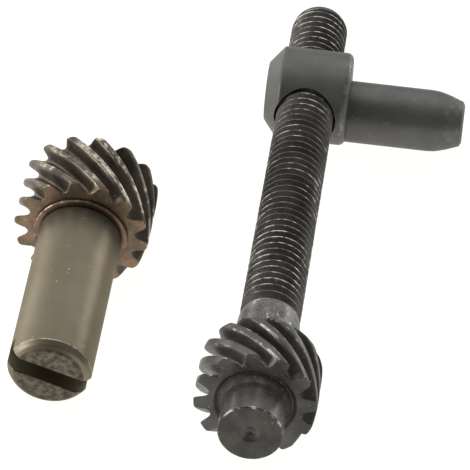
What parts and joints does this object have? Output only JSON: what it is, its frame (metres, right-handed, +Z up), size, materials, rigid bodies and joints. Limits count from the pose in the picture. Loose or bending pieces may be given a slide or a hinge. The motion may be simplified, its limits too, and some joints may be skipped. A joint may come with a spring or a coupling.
{
  "type": "crossed helical gear tensioner set",
  "caption": "Slotted adjuster spindle with a helical gear, beside a fine left-hand tension screw with its own helical gear, carrying a round nut with a side peg.",
  "frame": {"origin": "centre of the set's box, on the floor that it lies on", "axes": "+Y along the tension screw from its pilot to its free end, +X towards the nut's peg, +Z up"},
  "size_m": [0.0432, 0.072, 0.0143],
  "materials": {
    "black_oxide": "black oxide, satin",
    "grey_phosphate": "grey phosphate, satin",
    "ground_steel": "ground, lightly tinted",
    "dark_gear_steel": "hardened, bright worn tips",
    "copper": "dull copper"
  },
  "bodies": {
    "washer": {"thrust_washer": "copper"},
    "adjuster": {"adjuster_spindle": "ground_steel", "adjuster_gear": "dark_gear_steel"},
    "screw": {"tension_screw": "black_oxide"},
    "nut": {"tension_nut": "grey_phosphate"}
  },
  "joints": [
    {"name": "adjuster_turn", "type": "hinge", "parent": "washer", "child": "adjuster", "pos_m": [-0.01482, -0.00664, 0.00669], "axis": [0.0207, 0.9904, 0.1364], "continuous": true},
    {"name": "screw_turn", "type": "hinge", "parent": "washer", "child": "screw", "pos_m": [0.00516, 0, 0.00588], "axis": [0, 1, 0], "range_deg": [-12240, 2880]},
    {"name": "nut_travel", "type": "slide", "parent": "washer", "child": "nut", "axis": [0, 1, 0], "range_m": [-0.034, 0.008]}
  ],
  "couplings": [
    {"joint": "nut_travel", "follows": "screw_turn", "m_per_rad": 0.00015915}
  ]
}
